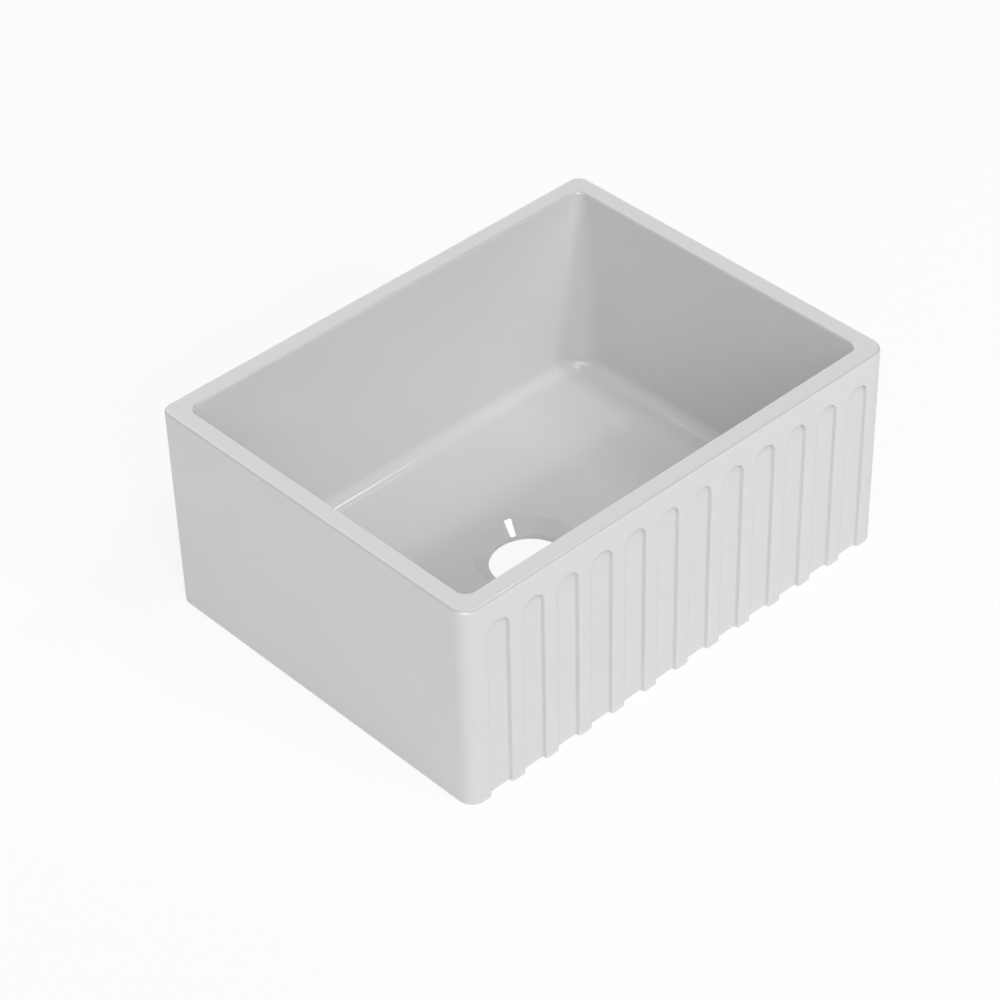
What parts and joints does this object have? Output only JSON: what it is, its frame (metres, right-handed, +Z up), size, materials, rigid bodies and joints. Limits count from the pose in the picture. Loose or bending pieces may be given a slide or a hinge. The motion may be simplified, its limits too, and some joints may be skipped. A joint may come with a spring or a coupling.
{
  "type": "apron front kitchen sink",
  "caption": "Single-bowl farmhouse sink in glazed fireclay, with a fluted apron front and a conical waste outlet.",
  "frame": {"origin": "middle of the foot, on the surface that the sink stands on, and on the waste outlet's axis", "axes": "+X along the apron to the right as seen from the front, -Y out of the fluted apron, +Z up out of the basin"},
  "size_m": [0.6, 0.455, 0.255],
  "materials": {
    "glazed_fireclay": "white gloss glaze on fireclay"
  },
  "bodies": {
    "root": {"sink_body": "glazed_fireclay"}
  },
  "joints": []
}
